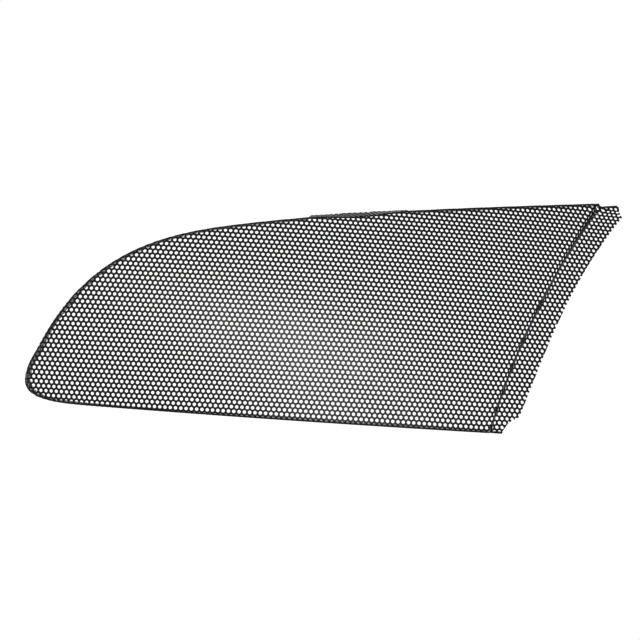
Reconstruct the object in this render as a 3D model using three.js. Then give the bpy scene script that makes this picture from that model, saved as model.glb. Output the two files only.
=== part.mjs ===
// Pressed, perforated steel screen for a motorcycle windshield opening.
//
// The screen is one sheet: a long domed face, a lip bent straight back all round it, a tab
// turned back on its upper edge, and a strip set back behind a joggle at its rear end.
// Each formed region is a node of its own, and neighbours meet across a narrow seam on the
// bend between them. X runs along the screen from the nose to the rear strip, Y is the press
// direction and points away from the show side, Z is up. Millimetres.
//
// The real sheet is punched all over with round holes 2.0 wide, in staggered rows 2.8 apart,
// which leaves 54% of it solid. Here it is drawn unpunched.

import * as THREE from "three";

// ---- driving dimensions ------------------------------------------------------------------

const SHEET_THICKNESS = 0.8;
const BEND_RADIUS = 0.8; // of the sheet's middle, between the face and a lip
const LIP_DEPTH = 10.5; // from the face's middle surface back to a lip's raw edge
const SEAM = 0.5; // between two neighbouring regions
const JOGGLE_SEAM = 0.08; // the same at either side of the joggle, as a share of its section
const RIM_END = 0.6; // of a lip short of the joggle

const JOGGLE_DEPTH = 2.6; // set-back of the rear strip behind the face
const JOGGLE_BEND = 0.6; // radius of its two bends
const JOGGLE_ANGLE = (75 * Math.PI) / 180; // of the steep wall between them

const TAB_START_X = -7.6;
const TAB_END_X = 50.5;
const TAB_DIP = 1.5; // how far the tab's bend lies below the upper edge at mid tab
const TAB_RISE = { front: 1.9, rear: 1.4 }; // of the tab's raw edge above the upper edge

// The dome's set-back behind its nearest tangent, in mm, with distances in units of 100 mm.
const DOME_UNIT = 100;
const DOME = { along: 6.7, up: 16.2, bow: 4.4, twist: 5.8, crown: 10.4 };
const DOME_TIGHTEN = { bowUp: -1.7, twistUp: -2.7, crownUp: 6.5 };

// The screen's outline seen along Y, from the foot of the joggle round the nose to its head.
const RIM_CURVES = [
  [[88.9, -59.8], [30, -55.7], [-50, -50.4], [-110, -46.1]],
  [[-110, -46.1], [-148.5, -43.4], [-168.1, -42.8], [-151.3, -16.1]],
  [[-151.3, -16.1], [-125.8, 33.9], [-90.3, 45.5], [-50, 51.1]],
  [[-50, 51.1], [8.9, 59.3], [91.0, 62.7], [157.2, 66.1]],
];
const NOSE_LIP_START_X = -112; // on the lower edge
const NOSE_LIP_END_X = -104; // on the upper edge

// Lines across the rear end, as x for a height z: offset, slope, curvature and its growth.
const JOGGLE_LINE = { offset: 114.5, slope: 0.53, curve: 0.0018, growth: 0 };
const RAW_EDGE_LINE = { offset: 130.4, slope: 0.525, curve: 0.002, growth: 0.000016 };
const STRIP_FOOT = { z: -60.4, x: 96.0 }; // lower end of the raw edge
const STRIP_NOTCH = { z: -54.8, x: 100.2 }; // where the clipped corner turns down
const STRIP_CORNER = { z: -51.7, x: 106.4 }; // where the clipped corner begins
const STRIP_SHOULDER = { z: 58.5, x: 170.4 }; // upper end of the long raw edge
const STRIP_HOOK = { z: 61.0, x: 169.4 }; // where the blunt upper corner turns up
const STRIP_HEAD = { z: 65.5, x: 169.2 }; // rear end of the strip's upper edge
const STRIP_HEAD_FRONT_Z = 64.6; // of the strip's upper edge where it leaves the joggle

const FACE_COLUMNS = 50;
const FACE_ROWS = 12;
const FACE_CROWDING = 1.35; // above 1, draws the face's columns together towards the nose
const TIP_HALF_WIDTH = 1.5; // along the rim, of the face's first column
const RIM_STEP = 6; // spacing of the facets along a straight lip
const NOSE_STEP = 2.5; // and round the nose
const BEND_STEPS = 3;
const JOGGLE_STEPS = 6;
const STRIP_ROWS = 15; // of the joggle, and along the strip's long raw edge

const RIM_DIVISIONS = 2000; // of the rim's length table
const TIP_SEARCH_STEP = 0.5;
const BISECTIONS = 40;

const PAINT = { color: 0x0b0b0c, roughness: 0.42, metalness: 0.35 };

// ---- the dome ----------------------------------------------------------------------------

function domeDepth(x, z) {
  const u = x / DOME_UNIT;
  const w = z / DOME_UNIT;
  const lean = DOME.along * u + DOME.up * w;
  const bulge = DOME.bow * u * u + DOME.twist * u * w + DOME.crown * w * w;
  const tighten = DOME_TIGHTEN.bowUp * u * u + DOME_TIGHTEN.twistUp * u * w + DOME_TIGHTEN.crownUp * w * w;
  return lean + bulge + tighten * w;
}

function onDome(point, setBack = 0) {
  return new THREE.Vector3(point.x, domeDepth(point.x, point.y) + setBack, point.y);
}

function lineX(line, z) {
  return line.offset + z * (line.slope + z * (line.curve + z * line.growth));
}

// ---- the rim -----------------------------------------------------------------------------

const rim = new THREE.CurvePath();
for (const points of RIM_CURVES) {
  rim.add(new THREE.CubicBezierCurve(...points.map(([x, z]) => new THREE.Vector2(x, z))));
}
rim.arcLengthDivisions = RIM_DIVISIONS;
const rimLength = rim.getLength();

// A point inside the rim by the given distance; s is measured along the rim.
function rimPoint(s, inset) {
  const u = THREE.MathUtils.clamp(s / rimLength, 0, 1);
  const tangent = rim.getTangentAt(u);
  const inward = new THREE.Vector2(tangent.y, -tangent.x);
  return rim.getPointAt(u).addScaledVector(inward, inset);
}

// Distance along the rim at which it passes a given x, between two distances.
function rimAtX(x, low, high) {
  const rising = rimPoint(high, 0).x > rimPoint(low, 0).x;
  for (let i = 0; i < BISECTIONS; i += 1) {
    const middle = (low + high) / 2;
    if (rimPoint(middle, 0).x > x === rising) high = middle;
    else low = middle;
  }
  return (low + high) / 2;
}

// The nose tip is where the rim's x is least.
let noseTip = 0;
for (let s = 0; s < rimLength; s += TIP_SEARCH_STEP) {
  if (rimPoint(s, 0).x < rimPoint(noseTip, 0).x) noseTip = s;
}
const stop = {
  noseStart: rimAtX(NOSE_LIP_START_X, 0, noseTip),
  noseEnd: rimAtX(NOSE_LIP_END_X, noseTip, rimLength),
  tabStart: rimAtX(TAB_START_X, noseTip, rimLength),
  tabEnd: rimAtX(TAB_END_X, noseTip, rimLength),
};

// How far along the tab a rim distance lies: 0 at the tab's front end, 1 at its rear end.
function alongTab(s) {
  return THREE.MathUtils.clamp((s - stop.tabStart) / (stop.tabEnd - stop.tabStart), 0, 1);
}

function tabDip(s) {
  return TAB_DIP * Math.sin(Math.PI * alongTab(s)) ** 2;
}

// ---- thin solids -------------------------------------------------------------------------

function makeGrid(rows, columns, pointAt) {
  return Array.from({ length: rows + 1 }, (_, i) =>
    Array.from({ length: columns + 1 }, (_, j) => pointAt(i / rows, j / columns)),
  );
}

// The grid of points on one side of the sheet, half its thickness from the middle surface.
// Side 1 is the one that (next row - this row) x (next column - this column) faces, and side
// -1 the other.
function sheetSide(grid, side) {
  const rows = grid.length;
  const columns = grid[0].length;
  const pick = (i, j) => {
    const row = THREE.MathUtils.clamp(i, 0, rows - 1);
    return grid[row][THREE.MathUtils.clamp(j, 0, columns - 1)];
  };
  return makeGrid(rows - 1, columns - 1, (down, across) => {
    const i = Math.round(down * (rows - 1));
    const j = Math.round(across * (columns - 1));
    const acrossRows = pick(i + 1, j).clone().sub(pick(i - 1, j));
    const acrossColumns = pick(i, j + 1).clone().sub(pick(i, j - 1));
    const normal = acrossRows.cross(acrossColumns).normalize();
    return pick(i, j).clone().addScaledVector(normal, (side * SHEET_THICKNESS) / 2);
  });
}

// A closed solid of the sheet's thickness around a grid of points on its middle surface.
function sheetSolid(grid) {
  const rows = grid.length;
  const columns = grid[0].length;
  const vertices = [...sheetSide(grid, 1).flat(), ...sheetSide(grid, -1).flat()];
  const at = (side, i, j) => side * rows * columns + i * columns + j;
  const index = [];
  const quad = (a, b, c, d) => index.push(a, b, c, a, c, d);
  for (let i = 0; i < rows - 1; i += 1) {
    for (let j = 0; j < columns - 1; j += 1) {
      quad(at(0, i, j), at(0, i + 1, j), at(0, i + 1, j + 1), at(0, i, j + 1));
      quad(at(1, i, j), at(1, i, j + 1), at(1, i + 1, j + 1), at(1, i + 1, j));
    }
  }
  for (let i = 0; i < rows - 1; i += 1) {
    const j = columns - 1;
    quad(at(0, i, 0), at(1, i, 0), at(1, i + 1, 0), at(0, i + 1, 0));
    quad(at(0, i + 1, j), at(1, i + 1, j), at(1, i, j), at(0, i, j));
  }
  for (let j = 0; j < columns - 1; j += 1) {
    const i = rows - 1;
    quad(at(0, 0, j + 1), at(1, 0, j + 1), at(1, 0, j), at(0, 0, j));
    quad(at(0, i, j), at(1, i, j), at(1, i, j + 1), at(0, i, j + 1));
  }
  const geometry = new THREE.BufferGeometry().setFromPoints(vertices);
  geometry.setIndex(index);
  geometry.computeVertexNormals();
  return geometry;
}

// ---- the regions -------------------------------------------------------------------------

const bendInset = SHEET_THICKNESS / 2 + BEND_RADIUS;
const faceInset = bendInset + SEAM / 2;

// The face spans from the lower rim to the upper rim, in columns that start at the nose tip
// and lie closer together there. Over its rear half they turn towards the joggle line.
function faceGrid() {
  return makeGrid(FACE_ROWS, FACE_COLUMNS, (across, along) => {
    const share = along ** FACE_CROWDING;
    const lowerS = THREE.MathUtils.lerp(noseTip - TIP_HALF_WIDTH, faceInset, share);
    const upperS = THREE.MathUtils.lerp(noseTip + TIP_HALF_WIDTH, rimLength - faceInset, share);
    const lower = rimPoint(lowerS, faceInset);
    const upper = rimPoint(upperS, faceInset + tabDip(upperS));
    const point = lower.lerp(upper, across);
    const limit = lineX(JOGGLE_LINE, point.y) - SEAM / 2;
    const turn = Math.max(0, 2 * along - 1) ** 2;
    point.x += (limit - rowEndX(across)) * turn;
    return onDome(point);
  });
}

// The x that a face row would end at before it is fitted to the joggle line.
function rowEndX(across) {
  const lower = rimPoint(faceInset, faceInset);
  const upper = rimPoint(rimLength - faceInset, faceInset);
  return lower.lerp(upper, across).x;
}

// A lip's cross-section: inset from the rim and distance back from the dome, round the bend
// and then straight back.
function lipProfile(depth) {
  const steps = [];
  for (let k = 0; k <= BEND_STEPS; k += 1) {
    const angle = (k / BEND_STEPS) * (Math.PI / 2);
    const inset = SHEET_THICKNESS / 2 + BEND_RADIUS * (1 - Math.sin(angle));
    steps.push({ inset, back: BEND_RADIUS * (1 - Math.cos(angle)) });
  }
  steps[0].inset -= SEAM / 2;
  steps.push({ inset: SHEET_THICKNESS / 2, back: depth });
  return steps;
}

function lipGrid(start, end, spacing = RIM_STEP) {
  const profile = lipProfile(LIP_DEPTH);
  const stations = Math.round((end - start) / spacing);
  return makeGrid(stations, profile.length - 1, (along, down) => {
    const step = profile[Math.round(down * (profile.length - 1))];
    const s = THREE.MathUtils.lerp(start + SEAM / 2, end - SEAM / 2, along);
    return onDome(rimPoint(s, step.inset), step.back);
  });
}

// The tab leaves the face along a bend that dips below the upper edge, and slopes back and
// up to a raw edge that stands a little above it.
function tabGrid() {
  const profile = lipProfile(LIP_DEPTH);
  const last = profile.length - 1;
  const stations = Math.round((stop.tabEnd - stop.tabStart) / RIM_STEP) * 2;
  return makeGrid(stations, last, (along, down) => {
    const k = Math.round(down * last);
    const s = THREE.MathUtils.lerp(stop.tabStart + SEAM / 2, stop.tabEnd - SEAM / 2, along);
    const rise = THREE.MathUtils.lerp(TAB_RISE.front, TAB_RISE.rear, along);
    const inset = k === last ? profile[k].inset - rise : profile[k].inset + tabDip(s);
    return onDome(rimPoint(s, inset), profile[k].back);
  });
}

// The joggle's cross-section: a bend back, a steep wall and a bend forward again.
const joggleArc = JOGGLE_BEND * JOGGLE_ANGLE;
const arcRun = JOGGLE_BEND * Math.sin(JOGGLE_ANGLE);
const arcDepth = JOGGLE_BEND * (1 - Math.cos(JOGGLE_ANGLE));
const joggleWall = (JOGGLE_DEPTH - 2 * arcDepth) / Math.sin(JOGGLE_ANGLE);
const joggleRun = 2 * arcRun + joggleWall * Math.cos(JOGGLE_ANGLE);

// How far a point has run past the joggle line and stepped back, at a share of the way
// through the joggle. Its two halves are alike.
function joggleStep(share) {
  if (share > 0.5) {
    const twin = joggleStep(1 - share);
    return { run: joggleRun - twin.run, depth: JOGGLE_DEPTH - twin.depth };
  }
  const length = share * (2 * joggleArc + joggleWall);
  const angle = Math.min(length / JOGGLE_BEND, JOGGLE_ANGLE);
  const wall = Math.max(length - joggleArc, 0);
  return {
    run: JOGGLE_BEND * Math.sin(angle) + wall * Math.cos(JOGGLE_ANGLE),
    depth: JOGGLE_BEND * (1 - Math.cos(angle)) + wall * Math.sin(JOGGLE_ANGLE),
  };
}

// Where the flat of the strip ends, at its lower and upper edge, in front and at the rear.
const footZ = STRIP_FOOT.z + faceInset;
const headFrontZ = STRIP_HEAD_FRONT_Z - faceInset;
const headRearZ = STRIP_HEAD.z - faceInset;

function joggleGrid() {
  const faceFootZ = rimPoint(faceInset, faceInset).y;
  const faceHeadZ = rimPoint(rimLength - faceInset, faceInset).y;
  return makeGrid(STRIP_ROWS, JOGGLE_STEPS, (up, across) => {
    const lowest = THREE.MathUtils.lerp(faceFootZ, footZ, across);
    const highest = THREE.MathUtils.lerp(faceHeadZ, headFrontZ, across);
    const z = THREE.MathUtils.lerp(lowest, highest, up);
    const step = joggleStep(THREE.MathUtils.lerp(JOGGLE_SEAM, 1 - JOGGLE_SEAM, across));
    return onDome(new THREE.Vector2(lineX(JOGGLE_LINE, z) + step.run, z), step.depth);
  });
}

// The strip's raw rear edge: a long gentle curve with its lower corner clipped in two cuts
// and its upper corner in two.
function rawEdgeX(z) {
  const between = (a, b) => THREE.MathUtils.mapLinear(z, a.z, b.z, a.x, b.x);
  if (z < STRIP_NOTCH.z) return between(STRIP_FOOT, STRIP_NOTCH);
  if (z < STRIP_CORNER.z) return between(STRIP_NOTCH, STRIP_CORNER);
  if (z < STRIP_SHOULDER.z) return lineX(RAW_EDGE_LINE, z);
  if (z < STRIP_HOOK.z) return between(STRIP_SHOULDER, STRIP_HOOK);
  return between(STRIP_HOOK, STRIP_HEAD);
}

// Heights of the strip's rows at the raw edge: every corner of it, and even steps between.
function stripHeights() {
  const heights = [footZ, STRIP_NOTCH.z];
  for (let i = 0; i <= STRIP_ROWS; i += 1) {
    heights.push(THREE.MathUtils.lerp(STRIP_CORNER.z, STRIP_SHOULDER.z, i / STRIP_ROWS));
  }
  return [...heights, STRIP_HOOK.z, headRearZ];
}

function stripFront(z) {
  return lineX(JOGGLE_LINE, z) + joggleRun + SEAM / 2;
}

function stripGrid() {
  return stripHeights().map((rearZ) => {
    const frontZ = THREE.MathUtils.mapLinear(rearZ, footZ, headRearZ, footZ, headFrontZ);
    const front = new THREE.Vector2(stripFront(frontZ), frontZ);
    const rear = new THREE.Vector2(rawEdgeX(rearZ), rearZ);
    return [onDome(front, JOGGLE_DEPTH), onDome(rear, JOGGLE_DEPTH)];
  });
}

// A lip on the strip's lower or upper end; outward is -1 for the lower one and +1 above.
function stripLipGrid(frontZ, rearZ, outward) {
  const profile = lipProfile(LIP_DEPTH - JOGGLE_DEPTH);
  const front = new THREE.Vector2(stripFront(frontZ), frontZ);
  const rear = new THREE.Vector2(rawEdgeX(rearZ), rearZ);
  return makeGrid(2, profile.length - 1, (along, down) => {
    const step = profile[Math.round(down * (profile.length - 1))];
    const point = front.clone().lerp(rear, outward < 0 ? 1 - along : along);
    point.y += outward * (faceInset - step.inset);
    return onDome(point, JOGGLE_DEPTH + step.back);
  });
}

// ---- the assembly ------------------------------------------------------------------------

const screen = new THREE.Group();

// The frame's origin is the middle of a flat facet on the rear strip's back, half way up. The
// strip's rows run up and its columns rearward, so side 1 is its back.
function seatPoint() {
  const back = sheetSide(stripGrid(), 1);
  const row = Math.floor(back.length / 2) - 1;
  const corners = [back[row][0], back[row + 1][0], back[row + 1][1]];
  const sum = corners.reduce((total, corner) => total.add(corner), new THREE.Vector3());
  return sum.divideScalar(corners.length);
}

screen.position.copy(seatPoint()).negate();

function addRegion(name, grid) {
  const mesh = new THREE.Mesh(sheetSolid(grid), new THREE.MeshStandardMaterial(PAINT));
  mesh.name = name;
  screen.add(mesh);
  return mesh;
}

addRegion("face_mesh", faceGrid());
addRegion("bottom_lip", lipGrid(RIM_END, stop.noseStart));
addRegion("nose_lip", lipGrid(stop.noseStart, stop.noseEnd, NOSE_STEP));
addRegion("top_front_lip", lipGrid(stop.noseEnd, stop.tabStart));
addRegion("top_tab", tabGrid());
addRegion("top_rear_lip", lipGrid(stop.tabEnd, rimLength - RIM_END));
addRegion("rear_joggle", joggleGrid());
addRegion("rear_strip", stripGrid());
addRegion("strip_top_lip", stripLipGrid(headFrontZ, headRearZ, 1));
addRegion("strip_bottom_lip", stripLipGrid(footZ, footZ, -1));

export default screen;
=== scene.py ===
# A pressed screen of perforated steel sheet, painted satin black, in a white studio.
#
# The sheet is laid out flat, with its staggered round holes, its outline and its bend lines,
# and cut into triangles there. Every corner is then carried onto the pressed shape: onto the
# dome, round the bend into a lip, or back through the joggle. Holes beside the joggle's steep
# wall are squeezed off it, as the press does. Last, the surface is given the sheet's thickness.
# Millimetres while drawing, metres in the scene.

import math

import bmesh
import bpy
import numpy as np
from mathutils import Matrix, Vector
from mathutils.geometry import delaunay_2d_cdt


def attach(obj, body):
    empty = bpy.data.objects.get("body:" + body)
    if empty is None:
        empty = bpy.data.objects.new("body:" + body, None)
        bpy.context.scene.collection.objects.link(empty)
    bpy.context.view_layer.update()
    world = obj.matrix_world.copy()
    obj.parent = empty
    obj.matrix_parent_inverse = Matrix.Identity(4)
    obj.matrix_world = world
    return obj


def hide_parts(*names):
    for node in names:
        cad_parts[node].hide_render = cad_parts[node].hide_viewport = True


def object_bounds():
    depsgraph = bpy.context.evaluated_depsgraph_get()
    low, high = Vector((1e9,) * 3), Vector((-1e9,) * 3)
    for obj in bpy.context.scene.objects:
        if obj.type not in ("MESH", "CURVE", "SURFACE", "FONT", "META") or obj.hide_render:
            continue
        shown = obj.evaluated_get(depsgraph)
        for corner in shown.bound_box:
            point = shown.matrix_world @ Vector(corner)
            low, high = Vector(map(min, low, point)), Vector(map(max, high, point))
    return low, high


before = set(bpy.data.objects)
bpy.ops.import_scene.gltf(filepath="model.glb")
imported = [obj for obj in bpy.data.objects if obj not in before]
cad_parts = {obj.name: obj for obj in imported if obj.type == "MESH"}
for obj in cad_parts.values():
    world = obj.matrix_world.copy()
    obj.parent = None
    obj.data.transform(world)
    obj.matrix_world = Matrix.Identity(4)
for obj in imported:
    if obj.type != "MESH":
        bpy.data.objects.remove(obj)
cad_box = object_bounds()

METRES = 0.001  # in a millimetre
TINY = 1e-9  # least length that a direction is divided by

# ---- the sheet -----------------------------------------------------------------------------

THICKNESS = 0.8
BEND_RADIUS = 0.8  # of the sheet's middle, between the face and a lip
LIP_DEPTH = 10.5
JOGGLE_DEPTH = 2.6
JOGGLE_BEND = 0.6  # radius of its two bends
JOGGLE_ANGLE = math.radians(75)  # of the steep wall between them
TAB_START_X = -7.6
TAB_END_X = 50.5
TAB_DIP = 1.5
TAB_RISE = (1.9, 1.4)  # at its front and rear end
TAB_END_RAMP = 0.05  # of the tab's length, over which it rises at either end
NOSE_LIP_START_X = -112.0
NOSE_LIP_END_X = -104.0

HOLE_SIDES = 10
# The holes are punched 2.0 wide, and the paint on their walls leaves 1.94. The drawn polygon
# has the area of that round hole.
PAINTED_RADIUS = 0.97
POLYGON_GAIN = math.sqrt(2 * math.pi / HOLE_SIDES / math.sin(2 * math.pi / HOLE_SIDES))
HOLE_RADIUS = PAINTED_RADIUS * POLYGON_GAIN
ROLLOVER = 0.2  # of a hole's edge on the show side, where the punch went in
PITCH = 2.8
ROW_ANGLE = -0.079  # of the rows of holes on the flat sheet
FIRST_HOLE = (-37.922, -9.19)

DOME_UNIT = 100.0
DOME = {"along": 6.7, "up": 16.2, "bow": 4.4, "twist": 5.8, "crown": 10.4}
DOME_TIGHTEN = {"bow": -1.7, "twist": -2.7, "crown": 6.5}

# The outline seen along Y, from the strip's lower end round the nose to its upper end, as
# cubic curves.
RIM_CURVES = [
    [(96.9, -60.4), (94.5, -60.4), (91.6, -60.0), (88.9, -59.8)],
    [(88.9, -59.8), (30, -55.7), (-50, -50.4), (-110, -46.1)],
    [(-110, -46.1), (-148.5, -43.4), (-168.1, -42.8), (-151.3, -16.1)],
    [(-151.3, -16.1), (-125.8, 33.9), (-90.3, 45.5), (-50, 51.1)],
    [(-50, 51.1), (8.9, 59.3), (91.0, 62.7), (157.2, 66.1)],
    [(157.2, 66.1), (158.8, 66.18), (158.8, 64.5), (160.4, 64.65)],
    [(160.4, 64.65), (163.3, 64.93), (166.3, 65.22), (169.25, 65.5)],
]
# Slanted lines, as x at z = 0, slope, curve and growth of the curve.
JOGGLE_LINE = (114.5, 0.53, 0.0018, 0.0)
RAW_EDGE_LINE = (130.4, 0.525, 0.002, 0.000016)
RAW_EDGE_FOOT = [(96.0, -60.4), (100.2, -54.8), (106.4, -51.7)]  # the clipped lower corner
RAW_EDGE_HEAD = [(170.4, 58.5), (169.4, 61.0), (169.2, 65.5)]  # the blunt upper corner

BEND_INSET = THICKNESS / 2 + BEND_RADIUS
MOUTH_RADIUS = HOLE_RADIUS + ROLLOVER
JOGGLE_ARC_RUN = JOGGLE_BEND * math.sin(JOGGLE_ANGLE)
JOGGLE_ARC_DEPTH = JOGGLE_BEND * (1 - math.cos(JOGGLE_ANGLE))
JOGGLE_WALL_RUN = (JOGGLE_DEPTH - 2 * JOGGLE_ARC_DEPTH) / math.tan(JOGGLE_ANGLE)
JOGGLE_RUN = 2 * JOGGLE_ARC_RUN + JOGGLE_WALL_RUN


def dome(x, z):
    """How far back the dome lies along Y, from its point at x = 0 and z = 0."""
    u, w = x / DOME_UNIT, z / DOME_UNIT
    lean = DOME["along"] * u + DOME["up"] * w
    bulge = DOME["bow"] * u * u + DOME["twist"] * u * w + DOME["crown"] * w * w
    tighten = (
        DOME_TIGHTEN["bow"] * u * u
        + DOME_TIGHTEN["twist"] * u * w
        + DOME_TIGHTEN["crown"] * w * w
    )
    return lean + bulge + tighten * w


def dome_slopes(x, z):
    """The dome's slopes along X and up Z."""
    step = 0.01
    along = (dome(x + step, z) - dome(x - step, z)) / (2 * step)
    up = (dome(x, z + step) - dome(x, z - step)) / (2 * step)
    return along, up


def line_x(line, z):
    """Where a slanted line is at a height z."""
    offset, slope, curve, growth = line
    return offset + z * (slope + z * (curve + z * growth))


def past_joggle(x, z):
    """The distance along X past the joggle's foot line."""
    return x - line_x(JOGGLE_LINE, z)


def joggle_depth(distance):
    """The set-back at a distance past the joggle line: a bend, a steep wall, a bend."""
    half = np.clip(distance, 0, JOGGLE_RUN)
    half = np.minimum(half, JOGGLE_RUN - half)
    arc = np.minimum(half, JOGGLE_ARC_RUN)
    depth = JOGGLE_BEND - np.sqrt(JOGGLE_BEND**2 - arc * arc)
    depth = depth + (half - arc) * math.tan(JOGGLE_ANGLE)
    return np.where(distance < JOGGLE_RUN / 2, depth, JOGGLE_DEPTH - depth)


# ---- pressing the flat sheet onto the dome -------------------------------------------------

NET_STEP = 14.0
NET_KNOTS = (27, 12)  # along X and up Z
NET_CORNER = (-180, -80)
NET_ALONG, NET_UP = (NET_STEP * np.arange(n) + low for n, low in zip(NET_KNOTS, NET_CORNER))
NET_PIN = (13, 6)  # the knot that stays in place, by its number along X and up Z
NET_TURN_PIN = (20, 6)  # the knot that keeps its height
NET_HOLD = 10.0  # weight of the pins
NET_ROUNDS = 12
NET_DAMPING = 1e-6
# The screen's own zone of the net, as its upper and lower limit along it.
NET_ZONE_X = [-165, -150, -125, -100, -90, -40, 0, 120, 180]
NET_ZONE_TOP = [-10, 10, 32, 47, 52, 66, 71, 82, 88]
NET_ZONE_BOTTOM = [-45, -52, -54, -56, -56.5, -60, -62, -72, -70]
NET_SLACK = 0.12  # weight of a thread outside the screen
NET_DEGREE = 7  # of the polynomial that carries the flat sheet onto the dome
NET_SCALE = (180.0, 90.0)
FLATTEN_ROUNDS = 8


def net_threads(a, b):
    """The net's threads, as pairs of knots, rest lengths and weights."""
    knots = np.arange(a.size).reshape(a.shape)
    starts, ends = [], []
    rows, columns = a.shape
    for i, j in ((1, 0), (0, 1), (1, 1), (1, -1)):
        low, high = max(0, -j), columns - max(0, j)
        starts.append(knots[: rows - i, low:high].ravel())
        ends.append(knots[i:, low + j : high + j].ravel())
    starts, ends = np.concatenate(starts), np.concatenate(ends)
    a, b = a.ravel(), b.ravel()
    rest = np.hypot(a[ends] - a[starts], b[ends] - b[starts])
    top = np.interp(a, NET_ZONE_X, NET_ZONE_TOP)
    bottom = np.interp(a, NET_ZONE_X, NET_ZONE_BOTTOM)
    inside = (b < top) & (b > bottom)
    weight = np.where(inside[starts] & inside[ends], 1.0, NET_SLACK)
    return starts, ends, rest, weight


def press_net():
    """Relaxes a net of threads on the dome until they keep their flat lengths at best.

    Returns the knots' flat places and their places on the dome, seen along Y.
    """
    a, b = np.meshgrid(NET_ALONG, NET_UP, indexing="ij")
    starts, ends, rest, weight = net_threads(a, b)
    a, b = a.ravel(), b.ravel()
    x, z = a.copy(), b.copy()
    n, m = a.size, starts.size
    thread = np.arange(m)
    pin, turn_pin = (i * len(NET_UP) + j for i, j in (NET_PIN, NET_TURN_PIN))
    for _ in range(NET_ROUNDS):
        y = dome(x, z)
        along, up = dome_slopes(x, z)
        dx, dy, dz = (v[ends] - v[starts] for v in (x, y, z))
        length = np.sqrt(dx * dx + dy * dy + dz * dz)
        jac = np.zeros((m + 3, 2 * n))
        jac[thread, ends] = (dx + dy * along[ends]) / length * weight
        jac[thread, starts] = -(dx + dy * along[starts]) / length * weight
        jac[thread, n + ends] = (dz + dy * up[ends]) / length * weight
        jac[thread, n + starts] = -(dz + dy * up[starts]) / length * weight
        jac[m, pin] = jac[m + 1, n + pin] = jac[m + 2, n + turn_pin] = NET_HOLD
        pins = [x[pin] - a[pin], z[pin] - b[pin], z[turn_pin] - b[turn_pin]]
        error = np.concatenate([weight * (length - rest), NET_HOLD * np.array(pins)])
        step = np.linalg.solve(jac.T @ jac + NET_DAMPING * np.eye(2 * n), -jac.T @ error)
        x += step[:n]
        z += step[n:]
    return np.stack([a, b], 1), np.stack([x, z], 1)


def powers(flat):
    """The polynomial's terms at flat points."""
    u, v = flat[:, 0] / NET_SCALE[0], flat[:, 1] / NET_SCALE[1]
    terms = [(i, j) for i in range(NET_DEGREE + 1) for j in range(NET_DEGREE + 1 - i)]
    return np.stack([u**i * v**j for i, j in terms], 1)


# The joggle draws the strip in: not at all before DRAW_START past its foot line, and fully
# beyond DRAW_END.
DRAW_START, DRAW_END = -4.5, 5.0
DRAW_MOST, DRAW_MIDDLE, DRAW_SPREAD = -1.05, 8.0, 55.0  # along X, most at a middle height
DRAW_SHRINK = -0.0105  # along Z
DRAW_CORNER = (0.95, -0.85)  # more of it in the upper corner, at this height
DRAW_CORNER_Z = 60.0
DRAW_CORNER_TOP = 65.0
DRAW_CORNER_POWER = 11


def draw_in(z):
    """How far the strip is drawn in at a height z."""
    along = DRAW_MOST * (1 - ((z - DRAW_MIDDLE) / DRAW_SPREAD) ** 2)
    corner = (np.clip(z, 0, DRAW_CORNER_TOP) / DRAW_CORNER_Z) ** DRAW_CORNER_POWER
    return np.stack([along + DRAW_CORNER[0] * corner, DRAW_SHRINK * z + DRAW_CORNER[1] * corner], 1)


net_flat, net_pressed = press_net()
zone = (net_flat[:, 1] < np.interp(net_flat[:, 0], NET_ZONE_X, NET_ZONE_TOP) + NET_STEP) & (
    net_flat[:, 1] > np.interp(net_flat[:, 0], NET_ZONE_X, NET_ZONE_BOTTOM) - NET_STEP
)
PRESS = np.linalg.lstsq(powers(net_flat[zone]), net_pressed[zone], rcond=None)[0]


def pressed(flat):
    """Where a point of the flat sheet comes to lie on the dome, seen along Y."""
    places = powers(flat) @ PRESS
    share = (past_joggle(places[:, 0], places[:, 1]) - DRAW_START) / (DRAW_END - DRAW_START)
    share = np.clip(share, 0, 1)
    return places + draw_in(places[:, 1]) * (share * share * (3 - 2 * share))[:, None]


def flattened(places):
    """The inverse of pressed."""
    flat = places.copy()
    step = 0.05
    for _ in range(FLATTEN_ROUNDS):
        here = pressed(flat)
        by_a = (pressed(flat + (step, 0)) - here) / step
        by_b = (pressed(flat + (0, step)) - here) / step
        det = by_a[:, 0] * by_b[:, 1] - by_a[:, 1] * by_b[:, 0]
        gap = places - here
        flat[:, 0] += (gap[:, 0] * by_b[:, 1] - gap[:, 1] * by_b[:, 0]) / det
        flat[:, 1] += (by_a[:, 0] * gap[:, 1] - by_a[:, 1] * gap[:, 0]) / det
    return flat


# ---- the rim -------------------------------------------------------------------------------

RIM_STEP = 0.25
CURVE_POINTS = 400  # on each of the outline's curves
LIP_EVENING = 20.0  # length of rim over which the lip's direction is evened
SECTION_ROUNDS = 20
NEAREST_STRIDE = 4  # of the places that are tried first
NEAREST_CHUNK = 4000  # points tried at a time
LIP_ROUNDS = 6
LIP_LEAST_SLOPE = -0.3  # these two hold back each round's step along the rim
LIP_MOST_STEP = 2


def bezier(points):
    t = np.linspace(0, 1, CURVE_POINTS)[:, None]
    p = np.array(points, float)
    return (
        (1 - t) ** 3 * p[0]
        + 3 * t * (1 - t) ** 2 * p[1]
        + 3 * t * t * (1 - t) * p[2]
        + t**3 * p[3]
    )


def lengths(points):
    """The distance along a polyline of each of its points."""
    return np.concatenate([[0], np.cumsum(np.hypot(*np.diff(points, axis=0).T))])


def sampled(points, at):
    """Points on a polyline at distances along it."""
    run = lengths(points)
    return np.stack([np.interp(at, run, points[:, k]) for k in (0, 1)], 1)


def directions(points):
    d = np.gradient(points, axis=0)
    return d / np.hypot(d[:, 0], d[:, 1])[:, None]


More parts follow.
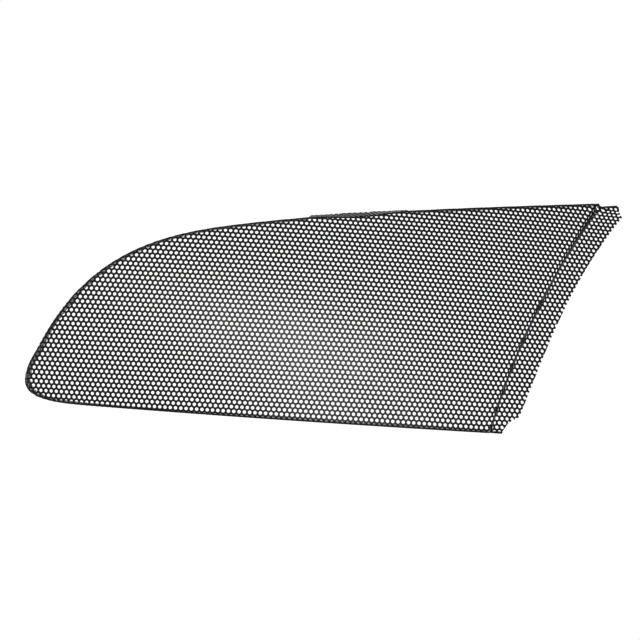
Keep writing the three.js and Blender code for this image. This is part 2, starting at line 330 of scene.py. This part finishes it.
def evened(along):
    """Directions along the rim with their quick turns, as at the joggle, spread out."""
    share = np.hanning(2 * int(LIP_EVENING / RIM_STEP / 2) + 1)
    padded = np.pad(along, ((len(share) // 2, len(share) // 2), (0, 0)), "edge")
    even = np.stack([np.convolve(padded[:, k], share, "valid") for k in (0, 1)], 1)
    return even / np.hypot(even[:, 0], even[:, 1])[:, None]


# Each curve starts where the one before it ends, so that point is left out once.
rim_drawn = np.concatenate([bezier(c)[:-1] for c in RIM_CURVES] + [[RIM_CURVES[-1][-1]]])
rim_length = lengths(rim_drawn)[-1]
rim_s = np.linspace(0, rim_length, int(rim_length / RIM_STEP))
rim_xz = sampled(rim_drawn, rim_s)
tangent = directions(rim_xz)
rim_in = np.stack([tangent[:, 1], -tangent[:, 0]], 1)
nose = int(np.argmin(rim_xz[:, 0]))


def s_at_x(x, upper):
    """The place along the rim where its upper or lower side reaches x."""
    part = slice(nose, None) if upper else slice(nose, None, -1)
    return float(np.interp(x, rim_xz[part, 0], rim_s[part]))


NOSE_START = s_at_x(NOSE_LIP_START_X, False)
NOSE_END = s_at_x(NOSE_LIP_END_X, True)
TAB_START = s_at_x(TAB_START_X, True)
TAB_END = s_at_x(TAB_END_X, True)


def along_tab(s):
    """The share of the tab's length that lies before a place on the rim."""
    return np.clip((s - TAB_START) / (TAB_END - TAB_START), 0, 1)


def tab_rise(s):
    """How far the tab stands proud of the rim."""
    along = along_tab(s)
    ramp = np.clip(np.minimum(along, 1 - along) / TAB_END_RAMP, 0, 1)
    return (TAB_RISE[0] + (TAB_RISE[1] - TAB_RISE[0]) * along) * ramp * ramp * (3 - 2 * ramp)


# The lip's cross-section all along the rim: the bend starts rim_dip below its usual place,
# turns through rim_turn, and the wall then runs straight to the raw edge.
rim_dip = TAB_DIP * np.sin(np.pi * along_tab(rim_s)) ** 2
rim_rise = tab_rise(rim_s)
rim_setback = joggle_depth(past_joggle(rim_xz[:, 0], rim_xz[:, 1]))
rim_depth = LIP_DEPTH - rim_setback
rim_turn = np.full_like(rim_s, np.pi / 2)
for _ in range(SECTION_ROUNDS):
    back = rim_depth - BEND_RADIUS * (1 - np.cos(rim_turn))
    out = rim_dip + rim_rise + BEND_RADIUS * (1 - np.sin(rim_turn))
    rim_turn = np.arctan2(back, out)
rim_wall = np.hypot(back, out)
rim_reach = BEND_RADIUS * rim_turn + rim_wall

bend_xz = rim_xz + rim_in * (BEND_INSET + rim_dip)[:, None]
bend_flat = flattened(bend_xz)
flat_along = evened(directions(bend_flat))
flat_out = np.stack([-flat_along[:, 1], flat_along[:, 0]], 1)


def on_rim(table, s):
    """A value that is known all along the rim, at the places s."""
    if table.ndim == 1:
        return np.interp(s, rim_s, table)
    return np.stack([np.interp(s, rim_s, table[:, k]) for k in range(table.shape[1])], 1)


def lip_flat(s, t):
    """The flat place of a point t past the bend line."""
    return on_rim(bend_flat, s) + on_rim(flat_out, s) * np.asarray(t)[..., None]


def nearest_s(flat):
    """For flat points, roughly the nearest place along the bend line."""
    s = np.empty(len(flat))
    coarse = slice(None, None, NEAREST_STRIDE)
    for i in range(0, len(flat), NEAREST_CHUNK):
        chunk = slice(i, i + NEAREST_CHUNK)
        away = ((flat[chunk, None] - bend_flat[None, coarse]) ** 2).sum(2)
        s[chunk] = rim_s[coarse][away.argmin(1)]
    return s


def lip_coordinates(flat, s):
    """For flat points near a place s, the nearest s on the bend line and the distance past it."""
    for _ in range(LIP_ROUNDS):
        gap = flat - on_rim(bend_flat, s)
        shift = (gap * on_rim(flat_along, s)).sum(1)
        nearby = s + RIM_STEP
        gap_next = flat - on_rim(bend_flat, nearby)
        shift_next = (gap_next * on_rim(flat_along, nearby)).sum(1)
        slope = np.minimum((shift_next - shift) / RIM_STEP, LIP_LEAST_SLOPE)
        step = np.clip(shift / slope, -LIP_MOST_STEP, LIP_MOST_STEP)
        s = np.clip(s - step, rim_s[0], rim_s[-1])
    gap = flat - on_rim(bend_flat, s)
    return s, (gap * on_rim(flat_out, s)).sum(1)


def lip_section(s, t):
    """Inset from the rim, and distance back, of a point t past the bend line."""
    turn = on_rim(rim_turn, s)
    arc = np.clip(t / BEND_RADIUS, 0, turn)
    rest = np.maximum(t - BEND_RADIUS * turn, 0)
    inset = BEND_INSET + on_rim(rim_dip, s) - BEND_RADIUS * np.sin(arc) - rest * np.cos(turn)
    return inset, BEND_RADIUS * (1 - np.cos(arc)) + rest * np.sin(turn)


def formed(flat, s, t):
    """The place in space of each flat point."""
    inset, back = lip_section(s, np.maximum(t, 0))
    lip = on_rim(rim_xz, s) + on_rim(rim_in, s) * inset[:, None]
    xz = np.where((t > 0)[:, None], lip, pressed(flat))
    x, z = xz[:, 0], xz[:, 1]
    y = dome(x, z) + joggle_depth(past_joggle(x, z)) + np.where(t > 0, back, 0)
    return np.stack([x, y, z], 1)


# ---- the flat pattern ----------------------------------------------------------------------

CUT_STEP = 0.6  # between the corners along a cut or a bend
RAW_EDGE_SPAN = 120.0  # its height and the joggle's, roughly, for the number of corners
JOGGLE_SPAN = 130.0
ACROSS_LIP = 12  # corners across a lip
SHALLOW_BITE = 0.7  # the edge is cut clean where a hole would only nick it
BEND_LINES = 5
JOGGLE_LINES = 4  # in each half of the joggle
ROW_GAP = PITCH * math.sqrt(3) / 2
LATTICE_REACH = (140, 60)  # holes tried to either side, along a row and across the rows
SAME_POINT = 1e-3  # the distance under which two corners are one

# Half the width of the band along the joggle's wall that holes are squeezed off, at its foot
# and head.
JOGGLE_CLOSED = (0.25, 0.5)
JOGGLE_ENDS_Z = (-60.0, 60.0)
SLIT_WIDTH = 0.2  # least width of a squeezed hole


def raw_edge_x(z):
    """Where the raw rear edge is at a height z."""
    foot, head = np.array(RAW_EDGE_FOOT), np.array(RAW_EDGE_HEAD)
    low = np.interp(z, foot[:, 1], foot[:, 0])
    high = np.interp(z, head[:, 1], head[:, 0])
    long_edge = line_x(RAW_EDGE_LINE, z)
    return np.where(z < foot[-1, 1], low, np.where(z > head[0, 1], high, long_edge))


def flat_outline():
    """The outline of the flat sheet: the lips' edge, then the raw rear edge."""
    s = np.linspace(rim_s[0], rim_s[-1], int(rim_s[-1] / CUT_STEP))
    lip_edge = lip_flat(s, on_rim(rim_reach, s))
    z = np.linspace(bend_xz[-1, 1], bend_xz[0, 1], int(RAW_EDGE_SPAN / CUT_STEP))
    raw = flattened(np.stack([raw_edge_x(z), z], 1))
    return np.concatenate([lip_edge, raw])


def bend_polylines():
    """Curves that the triangles follow: across the bend, and across the joggle."""
    s = np.linspace(rim_s[0], rim_s[-1], int(rim_s[-1] / CUT_STEP))
    curves = []
    for share in np.linspace(0, 1, BEND_LINES):
        curves.append(lip_flat(s, BEND_RADIUS * on_rim(rim_turn, s) * share))
    for mark in (NOSE_START, NOSE_END, TAB_START, TAB_END):
        t = np.linspace(0, 1, ACROSS_LIP) * on_rim(rim_reach, np.array([mark]))
        curves.append(lip_flat(np.full(ACROSS_LIP, mark), t))
    for share in np.linspace(0, 1, JOGGLE_LINES):
        distance = (JOGGLE_ARC_RUN + JOGGLE_WALL_RUN / 2) * math.sin(share * math.pi / 2) ** 2
        curves.append(joggle_curve(distance))
        curves.append(joggle_curve(JOGGLE_RUN - distance))
    return curves


def joggle_curve(distance):
    """The flat curve at a distance past the joggle's foot line, from raw edge to raw edge."""
    ends = []
    for part in (slice(nose, None), slice(nose, None, -1)):
        points = []
        for share in np.linspace(0, 1, ACROSS_LIP):
            s = rim_s[part]
            inset, _ = lip_section(s, share * rim_reach[part])
            xz = rim_xz[part] + rim_in[part] * inset[:, None]
            here = past_joggle(xz[:, 0], xz[:, 1])
            order = slice(len(here) // 2, None)
            at = np.array([np.interp(distance, here[order], s[order])])
            points.append(lip_flat(at, on_rim(rim_reach, at) * share)[0])
        ends.append(np.array(points))
    top, bottom = ends
    high, low = pressed(top[:1])[0, 1], pressed(bottom[:1])[0, 1]
    z = np.linspace(high, low, int(JOGGLE_SPAN / CUT_STEP))[1:-1]
    middle = flattened(np.stack([line_x(JOGGLE_LINE, z) + distance, z], 1))
    return np.concatenate([top[::-1], middle, bottom])


def lattice_near(flat):
    """Lattice coordinates, as real numbers, of flat points."""
    c, s = math.cos(ROW_ANGLE), math.sin(ROW_ANGLE)
    d = flat - FIRST_HOLE
    lx, ly = c * d[:, 0] + s * d[:, 1], -s * d[:, 0] + c * d[:, 1]
    j = ly / ROW_GAP
    return lx / PITCH - j / 2, j


def hole_centre(i, j):
    """The flat place of hole i of row j."""
    c, s = math.cos(ROW_ANGLE), math.sin(ROW_ANGLE)
    lx, ly = PITCH * (i + j / 2), ROW_GAP * j
    return np.stack([FIRST_HOLE[0] + c * lx - s * ly, FIRST_HOLE[1] + s * lx + c * ly], 1)


def in_polygon(points, polygon):
    inside = np.zeros(len(points), bool)
    x, y = points.T
    for (x0, y0), (x1, y1) in zip(polygon, np.roll(polygon, -1, 0)):
        crosses = (y0 > y) != (y1 > y)
        if crosses.any():
            at = x0 + (x1 - x0) * (y[crosses] - y0) / (y1 - y0)
            inside[crosses] ^= x[crosses] < at
    return inside


def nearest_mouth(points):
    """The centre of the hole nearest to each flat point, and the distance past its mouth."""
    i, j = lattice_near(points)
    centre = np.zeros_like(points)
    past = np.full(len(points), np.inf)
    apothem = MOUTH_RADIUS * math.cos(math.pi / HOLE_SIDES)
    sector = 2 * math.pi / HOLE_SIDES
    for di in (0, 1):
        for dj in (0, 1):
            tried = hole_centre(np.floor(i) + di, np.floor(j) + dj)
            d = points - tried
            angle = np.arctan2(d[:, 1], d[:, 0]) - ROW_ANGLE
            off = np.mod(angle, sector) - sector / 2
            here = np.hypot(d[:, 0], d[:, 1]) * np.cos(off) - apothem
            nearer = here < past
            past[nearer], centre[nearer] = here[nearer], tried[nearer]
    return centre, past


def punched_holes(outline):
    """The centres of the holes that lie on the sheet or bite well into its edge."""
    i, j = np.meshgrid(*(np.arange(-n, n + 1) for n in LATTICE_REACH), indexing="ij")
    centres = hole_centre(i.ravel(), j.ravel())
    low, high = outline.min(0) - PITCH, outline.max(0) + PITCH
    centres = centres[((centres > low) & (centres < high)).all(1)]
    keep = in_polygon(centres, outline)
    for k in np.nonzero(~keep)[0]:
        away = outline - centres[k]
        keep[k] = (away * away).sum(1).min() < (MOUTH_RADIUS - SHALLOW_BITE) ** 2
    return centres[keep]


def squeezed(rims, centre):
    """Points of the holes' rims, pushed off the joggle's wall to their hole's side of it."""
    middle = past_joggle(*pressed(centre).T) - JOGGLE_RUN / 2
    side = np.where(middle < 0, -1, 1)
    places = pressed(rims)
    distance = side * (past_joggle(*places.T) - JOGGLE_RUN / 2)
    hole = np.unique(np.round(centre, 2), axis=0, return_inverse=True)[1].ravel()
    near, far = np.full(hole.max() + 1, np.inf), np.full(hole.max() + 1, -np.inf)
    np.minimum.at(near, hole, distance)
    np.maximum.at(far, hole, distance)
    near, far = near[hole], far[hole]
    start = np.maximum(near, np.interp(places[:, 1], JOGGLE_ENDS_Z, JOGGLE_CLOSED))
    end = np.maximum(far, start + SLIT_WIDTH)
    moved = start + (distance - near) / (far - near) * (end - start)
    places[:, 0] += side * (moved - distance)
    return flattened(places)


def cut_triangles():
    """The flat sheet as triangles, without its holes."""
    outline = flat_outline()
    holes = punched_holes(outline)
    turn = ROW_ANGLE + 2 * math.pi * np.arange(HOLE_SIDES) / HOLE_SIDES
    circle = MOUTH_RADIUS * np.stack([np.cos(turn), np.sin(turn)], 1)
    rings = (holes[:, None] + circle[None]).reshape(-1, 2)
    points, edges = [rings], []
    first = np.arange(len(rings)).reshape(-1, HOLE_SIDES)
    edges.append(np.stack([first, np.roll(first, -1, 1)], 2).reshape(-1, 2))
    count = len(rings)
    for curve, closed in [(outline, True)] + [(c, False) for c in bend_polylines()]:
        k = np.arange(len(curve))
        pairs = np.stack([k, np.roll(k, -1)], 1) if closed else np.stack([k[:-1], k[1:]], 1)
        edges.append(pairs + count)
        points.append(curve)
        count += len(curve)
    points, edges = np.concatenate(points), np.concatenate(edges)
    result = delaunay_2d_cdt(
        [Vector(p) for p in points.tolist()], edges.tolist(), [], 0, SAME_POINT, False
    )
    flat = np.array([v[:] for v in result[0]])
    triangles = np.array(result[2])
    middle = flat[triangles].mean(1)
    keep = nearest_mouth(middle)[1] > 0
    keep[keep] = in_polygon(middle[keep], outline)
    return flat, triangles[keep]


# ---- the pieces ----------------------------------------------------------------------------

# Each drawn piece and the CAD node that it stands in for.
PIECES = {
    "punched_face_front": "face_mesh",
    "punched_face_rear": "face_mesh",
    "punched_bottom_lip": "bottom_lip",
    "punched_nose_lip": "nose_lip",
    "punched_top_front_lip": "top_front_lip",
    "punched_tab": "top_tab",
    "punched_top_rear_lip": "top_rear_lip",
    "punched_joggle": "rear_joggle",
    "punched_strip": "rear_strip",
    "punched_strip_top_lip": "strip_top_lip",
    "punched_strip_bottom_lip": "strip_bottom_lip",
}
FACE_SPLIT_X = -20.0  # the face is drawn as two pieces
SMOOTH_WITHIN = 0.9  # cosine of the turn up to which a hole's wall shades smoothly


def region_of(middle, s, t):
    """The name of the piece that each triangle belongs to, from its middle.

    The first choice that fits is the one that counts.
    """
    lip = t > 0
    xz = np.where(lip[:, None], formed(middle, s, t)[:, (0, 2)], pressed(middle))
    past = past_joggle(xz[:, 0], xz[:, 1])
    upper = s > rim_s[nose]
    choices = [
        (past > 0) & (past < JOGGLE_RUN), (past > 0) & ~lip,
        ~lip & (xz[:, 0] < FACE_SPLIT_X), ~lip,
        (past > 0) & upper, past > 0,
        s < NOSE_START, s < NOSE_END, s < TAB_START, s < TAB_END,
    ]
    names = [
        "punched_joggle", "punched_strip", "punched_face_front", "punched_face_rear",
        "punched_strip_top_lip", "punched_strip_bottom_lip",
        "punched_bottom_lip", "punched_nose_lip", "punched_top_front_lip", "punched_tab",
    ]
    return np.select(choices, names, "punched_top_rear_lip")


def unit(vectors):
    return vectors / np.maximum(np.linalg.norm(vectors, axis=1), TINY)[:, None]


def vertex_normals(points, triangles):
    a, b, c = (points[triangles[:, k]] for k in range(3))
    across = np.cross(b - a, c - a)
    total = np.zeros_like(points)
    for k in range(3):
        np.add.at(total, triangles[:, k], across)
    return unit(total)


def boundary(triangles):
    """The edges that only one triangle has, in that triangle's direction."""
    edges = np.concatenate([triangles[:, (0, 1)], triangles[:, (1, 2)], triangles[:, (2, 0)]])
    low, high = edges.min(1), edges.max(1)
    both_ways = low * (high.max() + 1) + high
    _, index, counts = np.unique(both_ways, return_index=True, return_counts=True)
    return edges[index[counts == 1]]


def thick_piece(name, mouth, throat, normals, on_hole, triangles):
    """A closed piece of sheet: show side, back, and the walls of every hole and edge.

    mouth and throat are the middle surface's points with every hole drawn as wide as on the
    show side, and as wide as below its rolled edge.
    """
    used, local = np.unique(triangles, return_inverse=True)
    local = local.reshape(-1, 3)
    out = normals[used]
    rim = boundary(local)
    rolled = np.unique(rim)
    n = len(used)
    shoulder = np.zeros(n, int)
    shoulder[rolled] = 2 * n + np.arange(len(rolled))
    places = np.concatenate(
        [
            mouth[used] + out * THICKNESS / 2,
            throat[used] - out * THICKNESS / 2,
            throat[used][rolled] + out[rolled] * (THICKNESS / 2 - ROLLOVER),
        ]
    )
    a, b = rim.T
    walls = [
        (b, a, shoulder[a]), (b, shoulder[a], shoulder[b]),
        (shoulder[b], shoulder[a], a + n), (shoulder[b], a + n, b + n),
    ]
    faces = np.concatenate([local, local[:, ::-1] + n, *(np.stack(w, 1) for w in walls)])
    mesh = bpy.data.meshes.new(name)
    mesh.vertices.add(len(places))
    mesh.vertices.foreach_set("co", (places * METRES).ravel())
    mesh.loops.add(faces.size)
    mesh.loops.foreach_set("vertex_index", faces.ravel().astype(np.int32))
    mesh.polygons.add(len(faces))
    mesh.polygons.foreach_set("loop_start", (3 * np.arange(len(faces))).astype(np.int32))
    mesh.update(calc_edges=True)
    mesh.validate()
    # the walls shade smoothly round a hole, and the rolled edge from the show side into it
    along = throat[used][b] - throat[used][a]
    outward = unit(np.cross(along, out[a] + out[b]))
    total = np.zeros((n, 3))
    np.add.at(total, a, outward)
    np.add.at(total, b, outward)
    total = unit(total)

    def wall_normal(corner):
        smooth = (total[corner] * outward).sum(1) > SMOOTH_WITHIN
        return np.where(smooth[:, None], total[corner], outward)

    low_a, low_b = wall_normal(a), wall_normal(b)
    top_a = np.where(on_hole[used][a][:, None], out[a], low_a)
    top_b = np.where(on_hole[used][b][:, None], out[b], low_b)
    wall_loops = [
        (top_b, top_a, low_a), (top_b, low_a, low_b),
        (low_b, low_a, low_a), (low_b, low_a, low_b),
    ]
    loops = [out[local].reshape(-1, 3), -out[local[:, ::-1]].reshape(-1, 3)]
    loops += [np.stack(w, 1).reshape(-1, 3) for w in wall_loops]
    mesh.normals_split_custom_set(np.concatenate(loops))
    piece = bpy.data.objects.new(name, mesh)
    bpy.context.scene.collection.objects.link(piece)
    return piece


# ---- the paint -----------------------------------------------------------------------------

SPECULAR = 0.6
PEEL = {"Scale": 1400.0, "Detail": 2.0}  # the noise of the orange peel
PATCHES = {"Scale": 22.0, "Detail": 4.0}  # of the patchy gloss
SPECKS = {"Scale": 5200.0, "Detail": 1.0}  # of the dust
PEEL_BUMP = {"Strength": 0.25, "Distance": 0.00008}
GLOSS_RANGE = {"From Min": 0.3, "From Max": 0.7, "To Min": 0.27, "To Max": 0.36}
# The colour ramp's stops: where on the specks' noise, and the colour.
TONES = [(0.55, (0.012, 0.012, 0.013, 1)), (0.8, (0.035, 0.035, 0.036, 1))]


def material_node(tree, kind, place, values=None):
    """A shader node at a place in the editor, with numbers set on its sockets."""
    node = tree.nodes.new(kind)
    node.location = place
    for socket, value in (values or {}).items():
        node.inputs[socket].default_value = value
    return node


def satin_paint():
    """Black satin powder coat: fine orange peel, patchy gloss, a little dust."""
    paint = bpy.data.materials.new("satin_black_paint")
    paint.use_nodes = True
    tree = paint.node_tree
    shader = tree.nodes["Principled BSDF"]
    shader.inputs["Specular IOR Level"].default_value = SPECULAR
    place = material_node(tree, "ShaderNodeTexCoord", (-1200, 0))

    def noise(values, row):
        node = material_node(tree, "ShaderNodeTexNoise", (-900, row), values)
        tree.links.new(place.outputs["Object"], node.inputs["Vector"])
        return node

    peel = noise(PEEL, -300)
    patches = noise(PATCHES, 0)
    specks = noise(SPECKS, 300)

    gloss = material_node(tree, "ShaderNodeMapRange", (-600, 0), GLOSS_RANGE)
    tree.links.new(patches.outputs["Fac"], gloss.inputs["Value"])
    tree.links.new(gloss.outputs["Result"], shader.inputs["Roughness"])

    tone = material_node(tree, "ShaderNodeValToRGB", (-600, 300))
    for stop, (position, colour) in zip(tone.color_ramp.elements, TONES):
        stop.position = position
        stop.color = colour
    tree.links.new(specks.outputs["Fac"], tone.inputs["Fac"])
    tree.links.new(tone.outputs["Color"], shader.inputs["Base Color"])

    bump = material_node(tree, "ShaderNodeBump", (-300, -300), PEEL_BUMP)
    tree.links.new(peel.outputs["Fac"], bump.inputs["Height"])
    tree.links.new(bump.outputs["Normal"], shader.inputs["Normal"])
    return paint


def glowing(name, strength):
    """A white material that gives off its own light."""
    material = bpy.data.materials.new(name)
    material.use_nodes = True
    tree = material.node_tree
    tree.nodes.clear()
    light = {"Color": (1, 1, 1, 1), "Strength": strength}
    glow = material_node(tree, "ShaderNodeEmission", (0, 0), light)
    out = material_node(tree, "ShaderNodeOutputMaterial", (200, 0))
    tree.links.new(glow.outputs["Emission"], out.inputs["Surface"])
    return material


# ---- making the screen ---------------------------------------------------------------------

flat, triangles = cut_triangles()
s, t = lip_coordinates(flat, nearest_s(flat))
middle = flat[triangles].mean(1)
region = region_of(middle, *lip_coordinates(middle, s[triangles[:, 0]]))

# Below its rolled edge each hole narrows to its painted width.
centre, past_mouth = nearest_mouth(flat)
on_hole = np.abs(past_mouth) < SAME_POINT
narrowed = centre + (flat - centre) * HOLE_RADIUS / MOUTH_RADIUS

# Holes of the face and the strip are squeezed off the joggle's wall.
off_wall = np.abs(past_joggle(*pressed(centre).T) - JOGGLE_RUN / 2)
on_wall = on_hole & (off_wall < PITCH) & (lip_coordinates(centre, s)[1] < -MOUTH_RADIUS)
flat[on_wall] = squeezed(flat[on_wall], centre[on_wall])
narrowed[on_wall] = squeezed(narrowed[on_wall], centre[on_wall])

mouth = formed(flat, s, t)
normals = vertex_normals(mouth, triangles)
throat = mouth.copy()
throat[on_hole] = formed(narrowed[on_hole], *lip_coordinates(narrowed[on_hole], s[on_hole]))

# The drawing is laid on the CAD model: the middles of their boxes meet.
used = np.unique(triangles)
sides = np.concatenate([mouth[used] + normals[used] * d * THICKNESS / 2 for d in (1, -1)])
drawn_middle = (sides.min(0) + sides.max(0)) / 2
cad_middle = (np.array(cad_box[0]) + np.array(cad_box[1])) / 2 / METRES
ORIGIN = drawn_middle - cad_middle
mouth -= ORIGIN
throat -= ORIGIN

paint = satin_paint()
for name, node in PIECES.items():
    piece = thick_piece(name, mouth, throat, normals, on_hole, triangles[region == name])
    piece.data.materials.append(paint)
    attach(piece, "root")
    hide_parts(node)

# ---- the studio ----------------------------------------------------------------------------

CAMERA_BACK = 631.2
CAMERA_SHIFT = 0.266  # toward the nose, and up
FIELD_WIDTH = 339.9  # of the picture, in the drawing's plane y = 0
SENSOR = 36.0
CLIP_START, CLIP_END = 0.01, 50

# Name, azimuth and elevation in degrees, distance, size and radiance.
LIGHTS = [
    ("key_softbox", 4, 13, 1.1, (0.45, 0.22), 10.5),
    ("top_softbox", -20, 62, 1.3, (0.9, 0.5), 3.0),
    ("left_softbox", -72, -6, 1.1, (0.9, 0.5), 9.0),
    ("right_softbox", 84, -6, 1.1, (0.9, 0.5), 6.0),
]
SKY_COLOUR = (0.96, 0.98, 1.0, 1)
SKY_STRENGTH = 0.52
VIEW_GAMMA = 0.62

STUDIO_WHITE = 1.02  # just past the brightest that the picture shows
BACKDROP_RADIUS = 12.0
BACKDROP_SEGMENTS = (48, 24)
FLOOR_BELOW = 0.25
FLOOR_RADIUS = 3.0
FLOOR_SEGMENTS = 96
WALL_BEHIND = 1.5
WALL_HALF = 2.5
WALL_WHITE = 1.8


def in_scene(x, y, z):
    """A place of the drawing, in the scene's metres."""
    return Vector((np.array([x, y, z], float) - ORIGIN) * METRES)


camera_data = bpy.data.cameras.new("camera")
camera_data.sensor_width = SENSOR
camera_data.lens = SENSOR * CAMERA_BACK / FIELD_WIDTH
camera_data.clip_start, camera_data.clip_end = CLIP_START, CLIP_END
camera = bpy.data.objects.new("camera", camera_data)
camera.location = in_scene(-CAMERA_SHIFT, -CAMERA_BACK, CAMERA_SHIFT)
camera.rotation_euler = (math.pi / 2, 0, 0)
bpy.context.scene.collection.objects.link(camera)
bpy.context.scene.camera = camera


def softbox(name, azimuth, elevation, distance, size, radiance):
    """A rectangular light aimed at the drawing's origin; azimuth 0 is the camera's side."""
    a, e = math.radians(azimuth), math.radians(elevation)
    away = Vector((math.sin(a) * math.cos(e), -math.cos(a) * math.cos(e), math.sin(e)))
    data = bpy.data.lights.new(name, "AREA")
    data.shape = "RECTANGLE"
    data.size, data.size_y = size
    data.energy = radiance * math.pi * size[0] * size[1]
    lamp = bpy.data.objects.new(name, data)
    lamp.location = in_scene(0, 0, 0) + away * distance
    lamp.rotation_mode = "QUATERNION"
    lamp.rotation_quaternion = away.to_track_quat("Z", "Y")
    bpy.context.scene.collection.objects.link(lamp)


for light in LIGHTS:
    softbox(*light)

world = bpy.data.worlds.new("studio")
world.use_nodes = True
sky = world.node_tree.nodes["Background"]
sky.inputs["Color"].default_value = SKY_COLOUR
sky.inputs["Strength"].default_value = SKY_STRENGTH
bpy.context.scene.world = world
bpy.context.scene.view_settings.view_transform = "Standard"
bpy.context.scene.view_settings.gamma = VIEW_GAMMA


def stage_mesh(name, build, material, lights=False):
    """A piece of the studio. Only one that lights is seen by the screen's paint."""
    mesh = bpy.data.meshes.new(name)
    shape = bmesh.new()
    build(shape)
    shape.to_mesh(mesh)
    shape.free()
    mesh.materials.append(material)
    thing = bpy.data.objects.new(name, mesh)
    bpy.context.scene.collection.objects.link(thing)
    thing.visible_shadow = False
    for ray in ("visible_diffuse", "visible_glossy", "visible_transmission"):
        setattr(thing, ray, lights)
    return thing


def ball(shape):
    u, v = BACKDROP_SEGMENTS
    bmesh.ops.create_uvsphere(shape, u_segments=u, v_segments=v, radius=BACKDROP_RADIUS)


def disc(shape):
    bmesh.ops.create_circle(shape, cap_ends=True, segments=FLOOR_SEGMENTS, radius=FLOOR_RADIUS)


def square(shape):
    bmesh.ops.create_grid(shape, x_segments=1, y_segments=1, size=WALL_HALF)


white = glowing("studio_white", STUDIO_WHITE)
stage_mesh("backdrop", ball, white)
floor = stage_mesh("floor", disc, white)
floor.location = (0, 0, cad_box[0][2] - FLOOR_BELOW)

# A brighter wall behind the screen, that only its paint sees.
wall = stage_mesh("back_wall", square, glowing("overexposed_white", WALL_WHITE), lights=True)
wall.visible_camera = False
wall.location = (0, WALL_BEHIND, 0)
wall.rotation_euler = (math.pi / 2, 0, 0)
